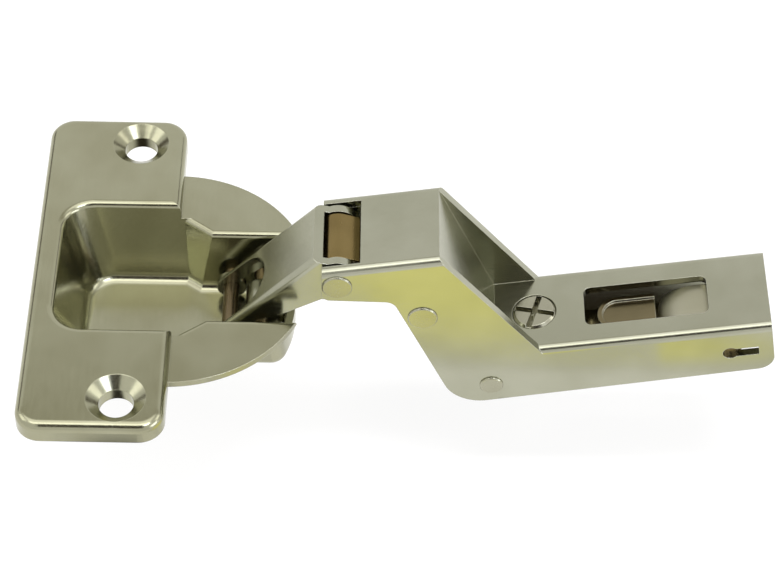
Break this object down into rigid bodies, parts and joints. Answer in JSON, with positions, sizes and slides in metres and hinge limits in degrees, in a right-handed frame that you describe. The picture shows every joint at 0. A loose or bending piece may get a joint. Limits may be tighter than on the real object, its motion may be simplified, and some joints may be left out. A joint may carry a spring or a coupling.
{
  "type": "cranked concealed cup hinge",
  "caption": "Full-crank concealed cup hinge for an inset door: a pressed cup with a screw flange, folded links, and a cranked arm with a side-adjusting screw and a clip latch.",
  "frame": {"origin": "on the cup's axis, at the door's face", "axes": "+X from the cup towards the arm, +Y along the flange away from the picture's viewer, +Z out of the door"},
  "size_m": [0.1051, 0.0584, 0.0299],
  "materials": {
    "nickel_plate": "satin nickel plate on pressed steel",
    "pin_steel": "plated, drawn",
    "band_steel": "bronze-toned spring band",
    "screw_steel": "bright nickel plate",
    "leaf_steel": "bright spring steel"
  },
  "bodies": {
    "cup": {"hinge_cup": "nickel_plate", "outer_link_pin": "pin_steel", "inner_link_pin": "pin_steel"},
    "outer": {"outer_link": "nickel_plate"},
    "inner": {"inner_link": "nickel_plate"},
    "arm": {"hinge_arm": "nickel_plate", "outer_link_rivet": "pin_steel", "inner_link_rivet": "pin_steel", "hook_pin": "pin_steel", "closing_spring": "band_steel", "latch_pin": "pin_steel", "latch_spring": "leaf_steel"},
    "adjuster": {"side_adjust_screw": "screw_steel"},
    "latch": {"clip_latch": "nickel_plate"}
  },
  "joints": [
    {"name": "outer_link_fold", "type": "hinge", "parent": "cup", "child": "outer", "pos_m": [0.008, 0, -0.0062], "axis": [0, -1, 0], "range_deg": [-21.2, 107.4]},
    {"name": "knuckle_fold", "type": "hinge", "parent": "outer", "child": "arm", "pos_m": [0.02342, 0, 0.00742], "axis": [0, -1, 0], "range_deg": [-28.5, 5.9]},
    {"name": "inner_link_fold", "type": "hinge", "parent": "cup", "child": "inner", "pos_m": [0.0124, 0, -0.0057], "axis": [0, -1, 0], "range_deg": [-21.6, 108.4]},
    {"name": "side_adjust_turn", "type": "hinge", "parent": "arm", "child": "adjuster", "pos_m": [0.05168, 0, -0.00546], "axis": [-0.1857, 0, 0.9826], "continuous": true},
    {"name": "latch_release", "type": "hinge", "parent": "arm", "child": "latch", "pos_m": [0.07932, 0, -0.00522], "axis": [0, -1, 0], "range_deg": [0, 12], "stiffness_Nm_per_rad": 0.02, "springref_deg": -20.05}
  ],
  "couplings": [
    {"joint": "knuckle_fold", "follows": "outer_link_fold", "ratio": -0.262},
    {"joint": "inner_link_fold", "follows": "outer_link_fold", "ratio": 1.005}
  ]
}
